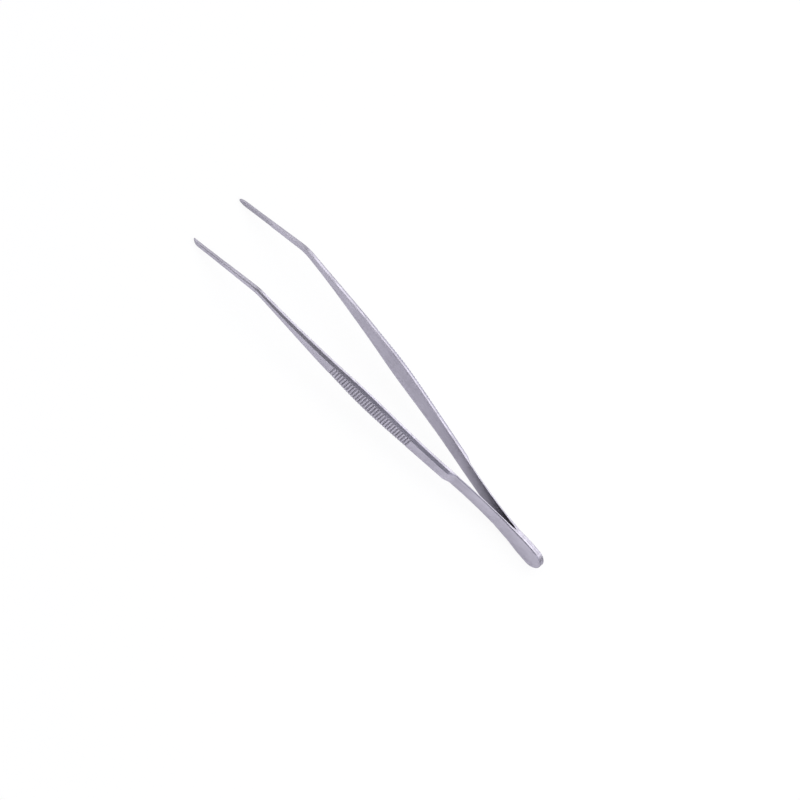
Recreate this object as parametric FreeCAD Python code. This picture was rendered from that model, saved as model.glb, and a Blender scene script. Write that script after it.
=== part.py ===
# Angled tweezers: two steel arms, welded face to face at the butt and sprung apart.
#
# Each arm is one forged and ground blank. From the butt it runs as a round-ended weld tab, a thin
# spring leaf, a thicker grip with cross grooves on its outer face, a tapering shank, a bend and a
# slim tip with fine cross teeth on its inner face.
#
# An arm is modelled in its own plan: X from the butt end towards the tips, Y out of the weld plane,
# Z across the broad faces. At the end both arms are turned to the pose in which the tweezers rest,
# like a low arch on the butt and the two tips. The origin is then at the middle of the footprint,
# on the surface they rest on, with +Z up.
import FreeCAD
import Part
import math
import os

Vector = FreeCAD.Vector

# Lengths along one arm in mm, in order from the butt end
TAB_LENGTH = 8.0             # round-ended tab of constant width
WELD_LENGTH = 14.7           # stretch over which the two arms are welded
CROTCH_RUN = 1.5             # run in which the inner face steps back behind the weld
THINNING_RUN = 8.0           # run in which the arm thins down to the leaf
LEAF_NARROWING = 18.9        # from the weld to the narrowest place of the leaf
LEAF_LENGTH = 26.5           # spring leaf, from the weld to the foot of the step
STEP_RUN = 3.2               # ramp from the thin leaf up to the grip
HEEL_LENGTH = 8.0            # from the ramp to the waist of the grip
GRIP_RISE = 27.8             # from the waist to the widest place
GRIP_FALL = 16.4             # from the widest place to the shoulder
SHANK_LENGTH = 35.9          # from the shoulder to the corner of the bend
TIP_LENGTH = 30.0            # from the corner of the bend to the end

# Widths across the broad faces
TAB_WIDTH = 8.75
WELD_END_WIDTH = 7.5
LEAF_WIDTH = 6.4
WAIST_WIDTH = 6.7
GRIP_WIDTH = 8.7
SHOULDER_WIDTH = 6.6
BEND_WIDTH = 2.6
TIP_WIDTH = 2.0

# Thicknesses of one arm, from its inner to its outer face
TAB_THICKNESS = 1.1
LEAF_THICKNESS = 0.55
HEEL_THICKNESS = 1.75
GRIP_THICKNESS = 1.75
BEND_THICKNESS = 1.45
TIP_THICKNESS = 1.05

# Bevels along the edges of the outer face: how far in and how far down they reach
TAB_BEVEL = 0.25
LEAF_BEVEL = 0.25
HEEL_BEVEL_DEPTH = 0.9
GRIP_BEVEL_WIDTH = 1.0
GRIP_BEVEL_DEPTH = 1.1
SHANK_BEVEL_WIDTH = 0.75
SHANK_BEVEL_DEPTH = 0.8
TIP_BEVEL_WIDTH = 0.3
TIP_BEVEL_DEPTH = 0.35

# The inner face: its step back behind the weld, and its slopes away from the weld plane
CROTCH_STEP = 0.25
LEAF_ROOT_SLOPE = 0.074
HEEL_SLOPE = 0.154
BEND_SLOPE = 0.034
TIP_SLOPE = -0.004

# How far the middle of the tab lies below the line of the leaf
TAB_DROP = 0.33

# The bend, across the spring direction
BEND_ANGLE = 21.5            # degrees that the tips turn down
BEND_RADIUS = 14.0

# Cross grooves on the outer face of the grip
GROOVE_COUNT = 32
GROOVE_PITCH = 1.13
GROOVE_WIDTH = 0.85
GROOVE_DEPTH = 0.38
GROOVES_FROM_STEP = 16.6     # first groove, from the top of the ramp

# Cross teeth on the inner face of the tip
TOOTH_COUNT = 25
TOOTH_PITCH = 0.55
TOOTH_WIDTH = 0.45
TOOTH_DEPTH = 0.14
TEETH_FROM_END = 0.9         # last tooth gap, from the end of the tip

# The pointed end of the tip, where three faces curve in
NOSE_RUN = 3.6               # stretch in which the outer face curves in
NOSE_THICKNESS = 0.18        # thickness left at the very end
BELLY_RUN = 2.8              # stretch in which the lower side curves up
BROW_RUN = 0.8               # stretch in which the upper side curves down
BROW_DEPTH = 0.3
NOSE_WIDTH = 0.5             # width left at the very end
STRAIGHT_END = 4.0           # last stretch of constant width and thickness

# How far a cutting tool reaches past the steel
OVERCUT = 1.0

# Places along the arm that follow from the lengths
NARROW = WELD_LENGTH + LEAF_NARROWING
STEP_FOOT = WELD_LENGTH + LEAF_LENGTH
STEP_TOP = STEP_FOOT + STEP_RUN
WAIST = STEP_TOP + HEEL_LENGTH
WIDEST = WAIST + GRIP_RISE
SHOULDER = WIDEST + GRIP_FALL
CORNER = SHOULDER + SHANK_LENGTH
BEND_TANGENT = BEND_RADIUS * math.tan(math.radians(BEND_ANGLE) / 2)
BEND_START = CORNER - BEND_TANGENT
BEND_END = BEND_START + BEND_RADIUS * math.radians(BEND_ANGLE)
ARM_END = BEND_END + TIP_LENGTH - BEND_TANGENT
MID_TIP = (BEND_END + ARM_END) / 2


def smooth_law(stations):
    """A curve through (place, size) pairs that never overshoots between two of them."""
    places, sizes = zip(*stations)
    runs = [b - a for a, b in zip(places, places[1:])]
    rises = [(b - a) / run for a, b, run in zip(sizes, sizes[1:], runs)]
    inner = [2 * p * q / (p + q) if p * q > 0 else 0.0 for p, q in zip(rises, rises[1:])]
    slopes = [0.0] + inner + [0.0]

    def size_at(place):
        if place <= places[0]:
            return sizes[0]
        for i, run in enumerate(runs):
            if place <= places[i + 1]:
                t = (place - places[i]) / run
                ease = t * t * (3 - 2 * t)
                lead = slopes[i] * t * (1 - t) ** 2 - slopes[i + 1] * t * t * (1 - t)
                return sizes[i] + (sizes[i + 1] - sizes[i]) * ease + run * lead
        return sizes[-1]

    return size_at


width_at = smooth_law([
    (TAB_LENGTH, TAB_WIDTH),
    (WELD_LENGTH, WELD_END_WIDTH),
    (NARROW, LEAF_WIDTH),
    (WAIST, WAIST_WIDTH),
    (WIDEST, GRIP_WIDTH),
    (SHOULDER, SHOULDER_WIDTH),
    (BEND_START, BEND_WIDTH),
    (ARM_END - STRAIGHT_END, TIP_WIDTH),
])
thickness_at = smooth_law([
    (WELD_LENGTH, TAB_THICKNESS),
    (WELD_LENGTH + CROTCH_RUN, TAB_THICKNESS - CROTCH_STEP),
    (WELD_LENGTH + THINNING_RUN, LEAF_THICKNESS),
    (STEP_FOOT, LEAF_THICKNESS),
    (STEP_TOP, HEEL_THICKNESS),
    (WIDEST, GRIP_THICKNESS),
    (BEND_START, BEND_THICKNESS),
    (ARM_END - STRAIGHT_END, TIP_THICKNESS),
])
bevel_width_at = smooth_law([
    (WELD_LENGTH, TAB_BEVEL),
    (WELD_LENGTH + THINNING_RUN, LEAF_BEVEL),
    (STEP_FOOT, LEAF_BEVEL),
    (STEP_TOP, GRIP_BEVEL_WIDTH),
    (WIDEST, GRIP_BEVEL_WIDTH),
    (SHOULDER + SHANK_LENGTH / 2, SHANK_BEVEL_WIDTH),
    (MID_TIP, TIP_BEVEL_WIDTH),
])
bevel_depth_at = smooth_law([
    (WELD_LENGTH, TAB_BEVEL),
    (WELD_LENGTH + THINNING_RUN, LEAF_BEVEL),
    (STEP_FOOT, LEAF_BEVEL),
    (STEP_TOP, HEEL_BEVEL_DEPTH),
    (WIDEST, GRIP_BEVEL_DEPTH),
    (SHOULDER + SHANK_LENGTH / 2, SHANK_BEVEL_DEPTH),
    (MID_TIP, TIP_BEVEL_DEPTH),
])

drop_at = smooth_law([(TAB_LENGTH, TAB_DROP), (NARROW, 0.0)])
crotch_step_at = smooth_law([(WELD_LENGTH, 0.0), (WELD_LENGTH + CROTCH_RUN, CROTCH_STEP)])


def inner_face_at(place):
    """Distance of the inner face from the weld plane: parabolic arcs, and the step behind the weld."""
    if place <= WELD_LENGTH:
        return 0.0
    arcs = [
        (WELD_LENGTH, STEP_TOP, LEAF_ROOT_SLOPE, HEEL_SLOPE),
        (STEP_TOP, BEND_START, HEEL_SLOPE, BEND_SLOPE),
        (BEND_START, BEND_END, BEND_SLOPE, TIP_SLOPE),
        (BEND_END, ARM_END, TIP_SLOPE, TIP_SLOPE),
    ]
    offset = 0.0
    for start, end, slope_in, slope_out in arcs:
        run = min(place, end) - start
        if run > 0:
            offset += slope_in * run + (slope_out - slope_in) * run ** 2 / (2 * (end - start))
    return offset + crotch_step_at(place)


def outer_face_at(place):
    return inner_face_at(place) + thickness_at(place)


def axis_at(place):
    """Point on the middle line of the width, and how far the arm has turned down there, in radians."""
    turn = min(max(place - BEND_START, 0.0) / BEND_RADIUS, math.radians(BEND_ANGLE))
    straight = min(place, BEND_START)
    beyond = max(place - BEND_END, 0.0)
    x = straight + BEND_RADIUS * math.sin(turn) + beyond * math.cos(turn)
    z = -drop_at(place) - BEND_RADIUS * (1 - math.cos(turn)) - beyond * math.sin(turn)
    return Vector(x, 0, z), turn


def point_on(place, across, out):
    """A point of the arm, from its place along the arm, across the width and out of the weld plane."""
    middle, turn = axis_at(place)
    return Vector(middle.x + across * math.sin(turn), out, middle.z + across * math.cos(turn))


def section(place):
    """Closed outline of the steel at one place: flat inner face, short sides, bevels, flat outer face."""
    inner = inner_face_at(place)
    outer = outer_face_at(place)
    side_top = outer - bevel_depth_at(place)
    half = width_at(place) / 2
    half_outer = half - bevel_width_at(place)
    corners = [
        (-half, inner), (half, inner), (half, side_top),
        (half_outer, outer), (-half_outer, outer), (-half, side_top),
    ]
    points = [point_on(place, across, out) for across, out in corners]
    return Part.makePolygon(points + points[:1])


def stretch(start, end, parts):
    """Solid between two places, lofted through evenly spaced sections."""
    places = [start + (end - start) * i / parts for i in range(parts + 1)]
    return Part.makeLoft([section(place) for place in places], True, False)


def tab_outline(inset, out):
    """Outline of the weld tab, drawn in at its round end and sides, at one height above the weld plane."""
    radius = TAB_WIDTH / 2
    half = radius - inset
    middle = -TAB_DROP
    low, high = Vector(radius, out, middle - half), Vector(radius, out, middle + half)
    low_end, high_end = Vector(TAB_LENGTH, out, middle - half), Vector(TAB_LENGTH, out, middle + half)
    return Part.Wire([
        Part.Arc(high, Vector(inset, out, middle), low).toShape(),
        Part.makeLine(low, low_end),
        Part.makeLine(low_end, high_end),
        Part.makeLine(high_end, high),
    ])


def weld_tab():
    side_top = TAB_THICKNESS - TAB_BEVEL
    plate = Part.Face(tab_outline(0, 0)).extrude(Vector(0, side_top, 0))
    bevelled = Part.makeLoft([tab_outline(0, side_top), tab_outline(TAB_BEVEL, TAB_THICKNESS)], True, True)
    return plate.fuse(bevelled)


def cross_groove(place, out, slope, width, depth, opens):
    """Cutter for one V groove across the arm. opens is 1 for a groove in the outer face, -1 in the inner."""
    reach = depth + OVERCUT
    half = width / 2 * reach / depth
    lean = math.atan(slope)
    profile = []
    for along, up in [(-half, OVERCUT), (half, OVERCUT), (0.0, -depth)]:
        up *= opens
        profile.append((
            place + along * math.cos(lean) - up * math.sin(lean),
            out + along * math.sin(lean) + up * math.cos(lean),
        ))
    across = width_at(place) / 2 + OVERCUT
    ends = []
    for side in (-across, across):
        points = [point_on(place, side, at_out) + axis_direction(place) * (at - place) for at, at_out in profile]
        ends.append(Part.makePolygon(points + points[:1]))
    return Part.makeLoft(ends, True, True)


def axis_direction(place):
    turn = axis_at(place)[1]
    return Vector(math.cos(turn), 0, -math.sin(turn))


def face_slope(face_at, place):
    step = 0.01
    return (face_at(place + step) - face_at(place - step)) / (2 * step)


def grip_grooves():
    first = STEP_TOP + GROOVES_FROM_STEP
    places = [first + i * GROOVE_PITCH for i in range(GROOVE_COUNT)]
    return [
        cross_groove(p, outer_face_at(p), face_slope(outer_face_at, p), GROOVE_WIDTH, GROOVE_DEPTH, 1)
        for p in places
    ]


def jaw_teeth(shift):
    """Cutters for the gaps between the teeth. shift moves them along, so that the two jaws interlock."""
    last = ARM_END - TEETH_FROM_END - shift
    places = [last - i * TOOTH_PITCH for i in range(TOOTH_COUNT)]
    return [
        cross_groove(p, inner_face_at(p), face_slope(inner_face_at, p), TOOTH_WIDTH, TOOTH_DEPTH, -1)
        for p in places
    ]


def belly_depth():
    """How far the lower side curves up: it leaves the nose width under the brow."""
    return TIP_WIDTH - BROW_DEPTH - NOSE_WIDTH


def end_radius(run, depth):
    """Radius of an arc that leaves a face smoothly and falls by depth over the run."""
    return (run ** 2 + depth ** 2) / (2 * depth)


def end_cutter(run, depth):
    """Cutter that curves one face in towards the end. The face is at Y = 0 and the end at X = 0."""
    radius = end_radius(run, depth)
    lean = math.asin(run / radius) / 2
    reach = TIP_WIDTH + OVERCUT
    start = Vector(-run, 0, -reach)
    middle = start + Vector(radius * math.sin(lean), radius * (math.cos(lean) - 1), 0)
    finish = start + Vector(run, -depth, 0)
    corners = [
        finish,
        finish + Vector(OVERCUT, 0, 0),
        finish + Vector(OVERCUT, depth + OVERCUT, 0),
        start + Vector(0, OVERCUT, 0),
        start,
    ]
    lines = [Part.makeLine(a, b) for a, b in zip(corners, corners[1:])]
    profile = Part.Wire([Part.Arc(start, middle, finish).toShape()] + lines)
    return Part.Face(profile).extrude(Vector(0, 0, 2 * reach))


def tip_end_cutters():
    """Cutters that bring the outer face, the lower side and the upper side of the tip to a point."""
    end, turn = axis_at(ARM_END)
    half = TIP_WIDTH / 2
    faces = [
        (NOSE_RUN, TIP_THICKNESS - NOSE_THICKNESS, Vector(0, outer_face_at(ARM_END), 0), 0),
        (BELLY_RUN, belly_depth(), Vector(0, inner_face_at(ARM_END), -half), -90),
        (BROW_RUN, BROW_DEPTH, Vector(0, inner_face_at(ARM_END), half), 90),
    ]
    to_tip = FreeCAD.Placement(end, FreeCAD.Rotation(Vector(0, 1, 0), math.degrees(turn)))
    cutters = []
    for run, depth, place, quarter in faces:
        cutter = end_cutter(run, depth)
        cutter.Placement = to_tip * FreeCAD.Placement(place, FreeCAD.Rotation(Vector(1, 0, 0), quarter))
        cutters.append(cutter)
    return cutters


def plain_arm():
    """The arm without its jaw teeth, on the +Y side of the weld plane."""
    stretches = [
        stretch(TAB_LENGTH, WELD_LENGTH, 3),
        stretch(WELD_LENGTH, WELD_LENGTH + CROTCH_RUN, 4),
        stretch(WELD_LENGTH + CROTCH_RUN, WELD_LENGTH + THINNING_RUN, 3),
        stretch(WELD_LENGTH + THINNING_RUN, STEP_FOOT, 6),
        stretch(STEP_FOOT, STEP_TOP, 6),
        stretch(STEP_TOP, BEND_START, 20),
        stretch(BEND_START, BEND_END, 6),
        stretch(BEND_END, ARM_END - STRAIGHT_END, 6),
        stretch(ARM_END - STRAIGHT_END, ARM_END, 1),
    ]
    return weld_tab().multiFuse(stretches).cut(grip_grooves() + tip_end_cutters())


def rest_pitch():
    """Angle by which the support line under the butt and the tips falls towards the tips, in radians.

    The line touches two arcs from below: the round end of the butt and the belly of the tip.
    """
    butt_radius, tip_radius = TAB_WIDTH / 2, end_radius(BELLY_RUN, belly_depth())
    butt_centre = axis_at(butt_radius)[0]
    tip_centre = point_on(ARM_END - BELLY_RUN, tip_radius - TIP_WIDTH / 2, 0)
    between = tip_centre - butt_centre
    fall = math.atan2(-between.z, between.x)
    return fall - math.asin((butt_radius - tip_radius) / between.Length)


def at_rest(arms):
    """The arms turned until they rest on butt and tips, with the origin under the middle of the box."""
    level = FreeCAD.Matrix()
    level.rotateY(-rest_pitch())
    turned = [arm.transformed(level, True) for arm in arms]
    box = Part.makeCompound(turned).optimalBoundingBox(False, False)
    shift = FreeCAD.Matrix()
    shift.move(-(box.XMin + box.XMax) / 2, 0, -box.ZMin)
    return [arm.transformed(shift, True) for arm in turned]


def main():
    blank = plain_arm()
    left = blank.cut(jaw_teeth(0.0))
    right = blank.cut(jaw_teeth(TOOTH_PITCH / 2)).mirror(Vector(0, 0, 0), Vector(0, 1, 0))
    os.makedirs("parts", exist_ok=True)
    for name, arm in zip(("left_arm", "right_arm"), at_rest([left, right])):
        solid = arm.Solids[0]
        print(name, "solids", len(arm.Solids), "valid", solid.isValid(), "faces", len(solid.Faces),
              "volume", round(solid.Volume, 1))
        solid.exportStep("parts/" + name + ".step")


main()
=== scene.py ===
# The looks of a pair of angled tweezers: satin-ground stainless steel on a white studio table.
import bpy
import math
from mathutils import Matrix, Vector


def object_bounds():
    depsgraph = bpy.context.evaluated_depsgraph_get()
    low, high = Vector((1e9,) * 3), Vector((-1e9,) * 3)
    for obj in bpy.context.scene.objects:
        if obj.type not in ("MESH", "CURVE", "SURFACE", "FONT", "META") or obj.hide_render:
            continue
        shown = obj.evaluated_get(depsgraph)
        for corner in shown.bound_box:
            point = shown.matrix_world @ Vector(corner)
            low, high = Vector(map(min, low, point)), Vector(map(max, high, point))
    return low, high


MM = 0.001

# The tones of the steel
STEEL = "#CAC6D3"                # cool light grey of the ground faces
STEEL_SHADE = "#B9B5C2"          # the slightly darker clouds in it
CLOUD_SHARE = 0.7                # how far a cloud goes over to that shade
STEEL_PAINTED_SHADE = "#7C7983"      # painted shade deep between the leaves, for their dark reflections there
STEEL_EDGE = "#D4D2DD"           # tumbled edges, a little brighter than the faces
STREAK_DARK = 0.93               # how much a streak of the belt darkens
STREAK_LIGHT = 1.06              # or lightens the tone

# The roughness of the steel
SMOOTHEST = 0.30                 # the grinding marks vary it between these two
ROUGHEST = 0.44
EDGE_ROUGHNESS = 0.26            # tumbled edges are smoother
SMEAR = 0.8                      # how much more the marks blur a reflection across the arm than along it
QUARTER_TURN = 0.25              # turns that blur from along the belt's direction to across it

# The grinding marks
GRIND_LENGTH = 6.0 * MM          # length of a mark along the arm
GRIND_WIDTH = 0.12 * MM          # spacing of the marks across it, a 120 grit belt
GRIND_DEPTH = 0.004 * MM
GRIND_RELIEF = 0.35              # share of that depth which tumbling leaves
STREAK_LENGTH = 14.0 * MM        # streaks of several marks, coarse enough to show from a step away
STREAK_WIDTH = 0.6 * MM
CLOUD_SIZE = 11.0 * MM
MARK_REACH = 12                  # how much slower the marks change out of the broad faces than across
FINE_DETAIL = 3.0                # layers of ever finer noise
SOFT_DETAIL = 2.0
RAGGEDNESS = 0.6                 # how much each finer layer counts
NOISE_SPAN = [("From Min", 0.3), ("From Max", 0.7)]      # the part of a noise that is spread out in full
CLOUD_SPAN = [("From Min", 0.35), ("From Max", 0.65)]

# Grooves, teeth and edges
CREVICE_REACH = 0.8 * MM         # painted shade in the floor of a groove no wider than this
CREVICE_SHADE_TONE = 0.36
CREVICE_SPAN = [("From Min", 0.55), ("From Max", 0.95)]  # share of open air from dark to plain
CREVICE_SAMPLES = 8
EDGE_RADIUS = 0.12 * MM          # what tumbling takes off every edge
EDGE_SPAN = [("From Min", 0.995), ("From Max", 0.88)]    # likeness of the two normals, from face to edge
EDGE_SAMPLES = 6

# The inner faces get painted shade, for their dark reflections between the leaves: much near the butt, and
# less and less from there on
SHADE_FULL_RUN = 24.5 * MM        # from the butt, as all runs are
SHADE_FADED_RUN = 46.5 * MM
SHADE_SHARE_AT_BUTT = 0.70           # how much painted shade they get up to the first place
SHADE_SHARE_TO_TIPS = 0.08               # and from the second one to the tips
SHADE_SLANT = 2.5            # how much nearer the butt a place counts, per height above LEAF_HEIGHT
LEAF_HEIGHT = 5.5 * MM
INNER_SPAN = [("From Min", -0.3), ("From Max", -0.8)]    # how far a face looks outward, from side to inner

# The bevels beside the grip get a painted shade, a touch darker and cooler than the faces
BEVEL_SHADE_TONE = "#F3F4FB"
BEVEL_SPAN = [("From Min", 0.25), ("From Max", 0.40)]    # outward times upward, from face to bevel
BEVEL_FULL_RUN = 85.5 * MM       # they are so up to the first place
BEVEL_END_RUN = 105.5 * MM       # and not beyond the second

# The bend of the tips
BEND_RUN = 131.5 * MM
BEND_FALL = math.tan(math.radians(21.5))
ONE_METRE = 1.0                  # the fall is given per metre

# The rim of the round butt end, left rougher than the rest and darkened with painted shade
ROUND_RADIUS = 4.4 * MM          # it stands on the table
RIM_RUN = 2.0 * MM               # how far behind the centre the rim is dull in full
RIM_ROUGHNESS = 0.62
RIM_SHADE_TONE = 0.8
BROAD_FACE = 0.85                # a face that looks more than this to the side is a broad one

# The studio
PAPER = "#F2F2F5"
PAPER_SIZE = 6.0
PAPER_FIBRE = 2.0 * MM
PAPER_ROUGHNESS = [("To Min", 0.85), ("To Max", 1.0)]
PAPER_SPECULAR = 0.2
GLOW_TO_EYE = 0.90               # how far the table is plain white to the eye
GLOW_TO_STEEL = 0.10             # and in the steel, which shows more of the shade between the arms
WALLS = "#FAFAFF"
WALL_LEVEL = 0.22                # the walls stay dim and let the bevels go dark

# The camera: far off, 60 degrees above the plane through both arms, rolled so the tips point up and left
ARM_RISE = math.radians(2.40)    # how far the arms climb from butt to tips at rest
VIEW_HEIGHT = math.radians(60.0)
VIEW_ROLL = math.radians(48.8)   # of the arms below the picture's horizontal, towards the butt
FRAME_WIDTH = 270.3 * MM
VIEW_DISTANCE = 4000.0 * MM
SENSOR = 36.0
AIM = Vector((-7.1, 0.0, 9.6)) * MM
FAR_LIMIT = 20.0


def linear(hex_colour):
    """An sRGB hex colour as linear red, green, blue and alpha."""
    values = [int(hex_colour[i:i + 2], 16) / 255 for i in (1, 3, 5)]
    return [v / 12.92 if v <= 0.04045 else ((v + 0.055) / 1.055) ** 2.4 for v in values] + [1.0]


def add(tree, kind, links=(), inputs=(), **settings):
    """Adds a node. links are (input, node, output) and inputs are (input, value)."""
    made = tree.nodes.new(kind)
    for name, value in settings.items():
        setattr(made, name, value)
    for name, value in inputs:
        made.inputs[name].default_value = value
    for name, source, output in links:
        tree.links.new(source.outputs[output], made.inputs[name])
    return made


def new_tree(owner):
    owner.use_nodes = True
    owner.node_tree.nodes.clear()
    return owner.node_tree


def straightened(tree, at, butt):
    """The place on the steel with the bend of the tips taken out, so that marks can follow the arm."""
    beyond = add(tree, "ShaderNodeMapRange", [("Value", at, "X")],
                 [("From Min", butt + BEND_RUN), ("From Max", butt + BEND_RUN + ONE_METRE),
                  ("To Min", 0.0), ("To Max", BEND_FALL)])
    level = add(tree, "ShaderNodeMath", [(0, at, "Z"), (1, beyond, "Result")], operation="ADD")
    return add(tree, "ShaderNodeCombineXYZ", [("X", at, "X"), ("Y", at, "Y"), ("Z", level, "Value")])


def marks(tree, straight, length, width, detail):
    """Grey noise drawn out along the arm, for marks of that length and spacing."""
    stretched = add(tree, "ShaderNodeMapping", [("Vector", straight, "Vector")],
                    [("Scale", (1 / length, 1 / (MARK_REACH * width), 1 / width))])
    return add(tree, "ShaderNodeTexNoise", [("Vector", stretched, "Vector")],
               [("Scale", 1.0), ("Detail", detail), ("Roughness", RAGGEDNESS)])


def ground_tone(tree, straight):
    """The tone of the ground faces, with faint clouds and the streaks of the belt."""
    cloud = marks(tree, straight, CLOUD_SIZE, CLOUD_SIZE, SOFT_DETAIL)
    cloud_share = add(tree, "ShaderNodeMapRange", [("Value", cloud, "Fac")],
                      CLOUD_SPAN + [("To Min", 0.0), ("To Max", CLOUD_SHARE)])
    clouded = add(tree, "ShaderNodeMix", [("Factor", cloud_share, "Result")],
                  [("A", linear(STEEL)), ("B", linear(STEEL_SHADE))], data_type="RGBA")
    streak = marks(tree, straight, STREAK_LENGTH, STREAK_WIDTH, SOFT_DETAIL)
    streak_tone = add(tree, "ShaderNodeMapRange", [("Value", streak, "Fac")],
                      NOISE_SPAN + [("To Min", STREAK_DARK), ("To Max", STREAK_LIGHT)])
    return add(tree, "ShaderNodeVectorMath", [(0, clouded, "Result"), (1, streak_tone, "Result")],
               operation="MULTIPLY")


def painted_shade_between_leaves(tree, at, facing, butt):
    """How much painted shade a place gets deep between the leaves: on an inner face, and close to where the
    arms part.
    """
    side = add(tree, "ShaderNodeMath", [(0, at, "Y")], operation="SIGN")
    outward = add(tree, "ShaderNodeMath", [(0, side, "Value"), (1, facing, "Y")], operation="MULTIPLY")
    inner = add(tree, "ShaderNodeMapRange", [("Value", outward, "Value")],
                INNER_SPAN + [("To Min", 0.0), ("To Max", 1.0)])
    height = add(tree, "ShaderNodeMath", [(0, at, "Z")], [(1, LEAF_HEIGHT)], operation="SUBTRACT")
    lag = add(tree, "ShaderNodeMath", [(0, height, "Value")], [(1, SHADE_SLANT)], operation="MULTIPLY")
    slanted = add(tree, "ShaderNodeMath", [(0, at, "X"), (1, lag, "Value")], operation="SUBTRACT")
    near = add(tree, "ShaderNodeMapRange", [("Value", slanted, "Value")],
               [("From Min", butt + SHADE_FULL_RUN), ("From Max", butt + SHADE_FADED_RUN),
                ("To Min", SHADE_SHARE_AT_BUTT), ("To Max", SHADE_SHARE_TO_TIPS)])
    return add(tree, "ShaderNodeMath", [(0, inner, "Result"), (1, near, "Result")], operation="MULTIPLY")


def behind_round_centre(tree, at, facing, butt):
    """How far a place on the narrow sides lies behind the centre of the round butt end."""
    flatness = add(tree, "ShaderNodeMath", [(0, facing, "Y")], operation="ABSOLUTE")
    on_side = add(tree, "ShaderNodeMath", [(0, flatness, "Value")], [(1, BROAD_FACE)], operation="LESS_THAN")
    behind = add(tree, "ShaderNodeMath", [(1, at, "X")], [(0, butt + ROUND_RADIUS)], operation="SUBTRACT")
    on_end = add(tree, "ShaderNodeMath", [(0, behind, "Value")], [(1, 0.0)], operation="MAXIMUM")
    return add(tree, "ShaderNodeMath", [(0, on_end, "Value"), (1, on_side, "Value")], operation="MULTIPLY")


def grinding_direction(tree, at, behind):
    """The way the belt ran: along the arm, and on the narrow sides around the round butt end."""
    above = add(tree, "ShaderNodeMath", [(0, at, "Z")], [(1, ROUND_RADIUS)], operation="SUBTRACT")
    return add(tree, "ShaderNodeCombineXYZ", [("X", above, "Value"), ("Z", behind, "Value")])


def painted_bevel_shade(tree, at, facing, butt):
    """What the tone is multiplied by: white on the faces, and BEVEL_SHADE_TONE, a painted shade, on the
    bevels beside the grip.
    """
    outward = add(tree, "ShaderNodeMath", [(0, facing, "Y")], operation="ABSOLUTE")
    upward = add(tree, "ShaderNodeMath", [(0, facing, "Z")], operation="ABSOLUTE")
    between = add(tree, "ShaderNodeMath", [(0, outward, "Value"), (1, upward, "Value")], operation="MULTIPLY")
    slanted = add(tree, "ShaderNodeMapRange", [("Value", between, "Value")],
                  BEVEL_SPAN + [("To Min", 0.0), ("To Max", 1.0)])
    beside = add(tree, "ShaderNodeMapRange", [("Value", at, "X")],
                 [("From Min", butt + BEVEL_FULL_RUN), ("From Max", butt + BEVEL_END_RUN),
                  ("To Min", 1.0), ("To Max", 0.0)])
    share = add(tree, "ShaderNodeMath", [(0, slanted, "Result"), (1, beside, "Result")], operation="MULTIPLY")
    return add(tree, "ShaderNodeMix", [("Factor", share, "Value")],
               [("A", linear("#FFFFFF")), ("B", linear(BEVEL_SHADE_TONE))], data_type="RGBA")


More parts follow.
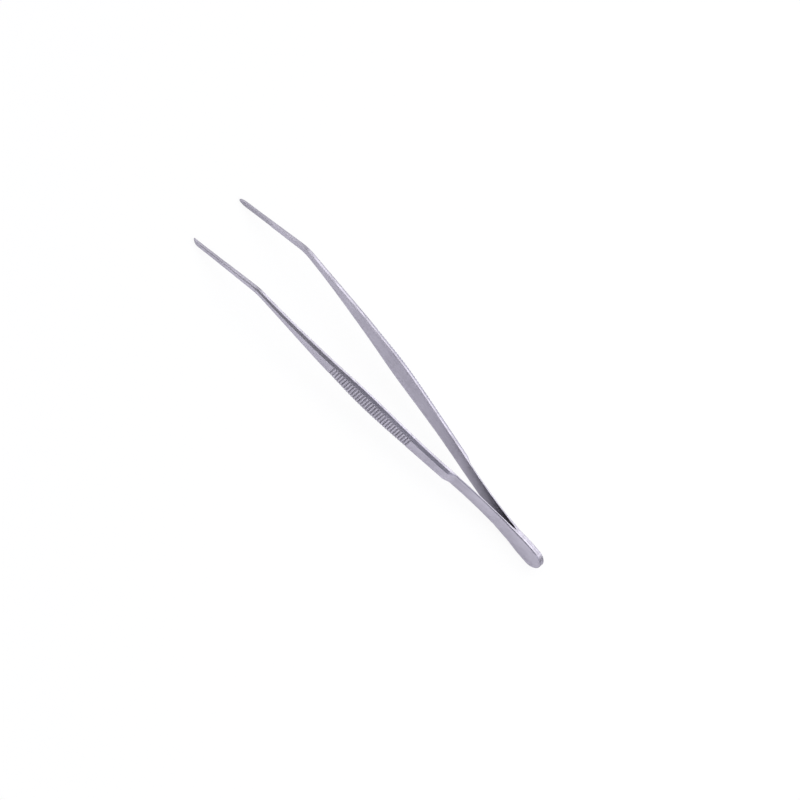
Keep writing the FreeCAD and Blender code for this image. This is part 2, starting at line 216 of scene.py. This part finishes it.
def satin_ground_steel(butt):
    """Stainless steel ground along the arm on a fine belt and tumbled.

    It gives the eye a soft, cool grey with fine lengthwise marks and faint clouds, and edges that are a
    little brighter and smoother than the faces. Painted shade darkens the floors of the grooves, the inner
    faces deep between the leaves, the bevels beside the grip and the rim of the butt end.
    """
    material = bpy.data.materials.new("satin_ground_stainless_steel")
    tree = new_tree(material)
    place = add(tree, "ShaderNodeTexCoord")
    at = add(tree, "ShaderNodeSeparateXYZ", [("Vector", place, "Object")])
    own = add(tree, "ShaderNodeNewGeometry")
    facing = add(tree, "ShaderNodeSeparateXYZ", [("Vector", own, "Normal")])
    straight = straightened(tree, at, butt)

    ground = ground_tone(tree, straight)
    # painted shade deep between the leaves, mixed into the colour
    between_shade = painted_shade_between_leaves(tree, at, facing, butt)
    shaded_between = add(tree, "ShaderNodeMix", [("Factor", between_shade, "Value"), ("A", ground, "Vector")],
                [("B", linear(STEEL_PAINTED_SHADE))], data_type="RGBA")

    behind = behind_round_centre(tree, at, facing, butt)
    # the rim of the butt end is rougher and gets a painted shade in its colour
    rough_and_shaded_rim = add(tree, "ShaderNodeMapRange", [("Value", behind, "Value")],
              [("From Min", 0.0), ("From Max", RIM_RUN), ("To Min", 0.0), ("To Max", 1.0)])
    rim_shade = add(tree, "ShaderNodeMapRange", [("Value", rough_and_shaded_rim, "Result")],
                   [("To Min", 1.0), ("To Max", RIM_SHADE_TONE)])
    rim_shaded = add(tree, "ShaderNodeVectorMath", [(0, shaded_between, "Result"), (1, rim_shade, "Result")],
                 operation="MULTIPLY")
    # painted shade on the bevels beside the grip
    bevel_shade = painted_bevel_shade(tree, at, facing, butt)
    bevel_shaded = add(tree, "ShaderNodeVectorMath", [(0, rim_shaded, "Vector"), (1, bevel_shade, "Result")],
                   operation="MULTIPLY")

    # painted shade in the floors of grooves and teeth, where little open air is around
    open_air = add(tree, "ShaderNodeAmbientOcclusion", inputs=[("Distance", CREVICE_REACH)],
                   samples=CREVICE_SAMPLES, only_local=True)
    painted_crevice_shade = add(tree, "ShaderNodeMapRange", [("Value", open_air, "AO")],
                     CREVICE_SPAN + [("To Min", CREVICE_SHADE_TONE), ("To Max", 1.0)])
    crevice_shaded = add(tree, "ShaderNodeVectorMath", [(0, bevel_shaded, "Vector"), (1, painted_crevice_shade, "Result")],
                   operation="MULTIPLY")

    # Where the rounded normal leaves the face's own normal, there is an edge
    rounded = add(tree, "ShaderNodeBevel", inputs=[("Radius", EDGE_RADIUS)], samples=EDGE_SAMPLES)
    likeness = add(tree, "ShaderNodeVectorMath", [(0, rounded, "Normal"), (1, own, "Normal")],
                   operation="DOT_PRODUCT")
    edge = add(tree, "ShaderNodeMapRange", [("Value", likeness, "Value")],
               EDGE_SPAN + [("To Min", 0.0), ("To Max", 1.0)])
    worn = add(tree, "ShaderNodeMix", [("Factor", edge, "Result"), ("A", crevice_shaded, "Vector")],
               [("B", linear(STEEL_EDGE))], data_type="RGBA")

    grind = marks(tree, straight, GRIND_LENGTH, GRIND_WIDTH, FINE_DETAIL)
    marked = add(tree, "ShaderNodeMapRange", [("Value", grind, "Fac")],
                 NOISE_SPAN + [("To Min", SMOOTHEST), ("To Max", ROUGHEST)])
    tumbled = add(tree, "ShaderNodeMix", [("Factor", edge, "Result"), ("A", marked, "Result")],
                  [("B", EDGE_ROUGHNESS)])
    rough = add(tree, "ShaderNodeMix", [("Factor", rough_and_shaded_rim, "Result"), ("A", tumbled, "Result")],
                [("B", RIM_ROUGHNESS)])
    relief = add(tree, "ShaderNodeBump", [("Height", grind, "Fac"), ("Normal", rounded, "Normal")],
                 [("Strength", GRIND_RELIEF), ("Distance", GRIND_DEPTH)])
    along = grinding_direction(tree, at, behind)
    steel = add(tree, "ShaderNodeBsdfPrincipled",
                [("Base Color", worn, "Result"), ("Roughness", rough, "Result"),
                 ("Normal", relief, "Normal"), ("Tangent", along, "Vector")],
                [("Metallic", 1.0), ("Anisotropic", SMEAR), ("Anisotropic Rotation", QUARTER_TURN)])
    add(tree, "ShaderNodeOutputMaterial", [("Surface", steel, "BSDF")])
    return material


def white_paper():
    """Matt white paper.

    It gives the eye a plain white with soft shadows, and a calm pale reflection in the steel.
    """
    material = bpy.data.materials.new("matt_white_paper")
    tree = new_tree(material)
    place = add(tree, "ShaderNodeTexCoord")
    fibre = add(tree, "ShaderNodeTexNoise", [("Vector", place, "Object")],
                [("Scale", 1 / PAPER_FIBRE), ("Detail", FINE_DETAIL)])
    rough = add(tree, "ShaderNodeMapRange", [("Value", fibre, "Fac")], PAPER_ROUGHNESS)
    paper = add(tree, "ShaderNodeBsdfPrincipled", [("Roughness", rough, "Result")],
                [("Base Color", linear(PAPER)), ("Specular IOR Level", PAPER_SPECULAR)])
    glow = add(tree, "ShaderNodeEmission", inputs=[("Strength", 1.0)])
    ray = add(tree, "ShaderNodeLightPath")
    to_eye = add(tree, "ShaderNodeMath", [(0, ray, "Is Camera Ray")], [(1, GLOW_TO_EYE)],
                 operation="MULTIPLY")
    to_steel = add(tree, "ShaderNodeMath", [(0, ray, "Is Glossy Ray"), (1, ray, "Is Transmission Ray")],
                   operation="MAXIMUM")
    share = add(tree, "ShaderNodeMath", [(0, to_steel, "Value"), (2, to_eye, "Value")],
                [(1, GLOW_TO_STEEL)], operation="MULTIPLY_ADD")
    look = add(tree, "ShaderNodeMixShader", [(0, share, "Value"), (1, paper, "BSDF"), (2, glow, "Emission")])
    add(tree, "ShaderNodeOutputMaterial", [("Surface", look, "Shader")])
    return material


def table():
    """A wide sheet of paper under the tweezers."""
    half = PAPER_SIZE / 2
    corners = [(-half, -half, 0), (half, -half, 0), (half, half, 0), (-half, half, 0)]
    mesh = bpy.data.meshes.new("table")
    mesh.from_pydata(corners, [], [(0, 1, 2, 3)])
    sheet = bpy.data.objects.new("table", mesh)
    bpy.context.scene.collection.objects.link(sheet)
    mesh.materials.append(white_paper())


def studio_walls():
    """Plain dim walls and ceiling all around. The softboxes do the rest."""
    world = bpy.data.worlds.new("studio")
    bpy.context.scene.world = world
    tree = new_tree(world)
    walls = add(tree, "ShaderNodeBackground", inputs=[("Color", linear(WALLS)), ("Strength", WALL_LEVEL)])
    add(tree, "ShaderNodeOutputWorld", [("Surface", walls, "Background")])


def softbox(name, position, width, height, watts):
    """A rectangular lamp behind a diffuser, turned to the tweezers."""
    lamp = bpy.data.lights.new(name, "AREA")
    lamp.shape = "RECTANGLE"
    lamp.size = width
    lamp.size_y = height
    lamp.energy = watts
    box = bpy.data.objects.new(name, lamp)
    bpy.context.scene.collection.objects.link(box)
    box.location = position
    box.rotation_euler = (-Vector(position)).to_track_quat("-Z", "Y").to_euler()


def camera():
    """The camera, level with the width of the arms and rolled about its own axis."""
    along = Vector((math.cos(ARM_RISE), 0, math.sin(ARM_RISE)))
    square = Vector((-math.sin(ARM_RISE), 0, math.cos(ARM_RISE)))
    towards = Vector((0, math.cos(VIEW_HEIGHT), 0)) + square * math.sin(VIEW_HEIGHT)
    aside = towards.cross(along)
    right = -along * math.cos(VIEW_ROLL) - aside * math.sin(VIEW_ROLL)
    up = along * math.sin(VIEW_ROLL) - aside * math.cos(VIEW_ROLL)
    lens = bpy.data.cameras.new("camera")
    lens.sensor_width = SENSOR
    lens.lens = SENSOR * VIEW_DISTANCE / FRAME_WIDTH
    lens.clip_end = FAR_LIMIT
    eye = bpy.data.objects.new("camera", lens)
    bpy.context.scene.collection.objects.link(eye)
    turn = Matrix((right, up, towards)).transposed().to_4x4()
    eye.matrix_world = Matrix.Translation(AIM + towards * VIEW_DISTANCE) @ turn
    bpy.context.scene.camera = eye


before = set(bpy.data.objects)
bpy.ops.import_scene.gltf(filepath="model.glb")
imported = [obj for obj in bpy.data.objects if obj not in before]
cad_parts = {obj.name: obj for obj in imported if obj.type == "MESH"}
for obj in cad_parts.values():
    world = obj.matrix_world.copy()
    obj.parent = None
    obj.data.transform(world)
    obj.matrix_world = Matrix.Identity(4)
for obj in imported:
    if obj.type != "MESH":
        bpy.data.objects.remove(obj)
cad_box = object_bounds()

butt_end = cad_box[0][0]
steel = satin_ground_steel(butt_end)
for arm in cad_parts.values():
    arm.data.materials.clear()
    arm.data.materials.append(steel)

table()
studio_walls()
softbox("back_softbox", position=(-0.4, -0.75, 1.3), width=1.8, height=1.3, watts=14.2)
softbox("tip_fill_softbox", position=(0.9, -0.85, 1.2), width=1.4, height=1.5, watts=3.1)
softbox("tip_softbox", position=(1.25, 0.3, 1.2), width=1.2, height=1.2, watts=8.0)
softbox("butt_softbox", position=(-1.25, 0.3, 1.2), width=1.2, height=1.2, watts=19.0)
camera()

scene = bpy.context.scene
scene.view_settings.view_transform = "Standard"
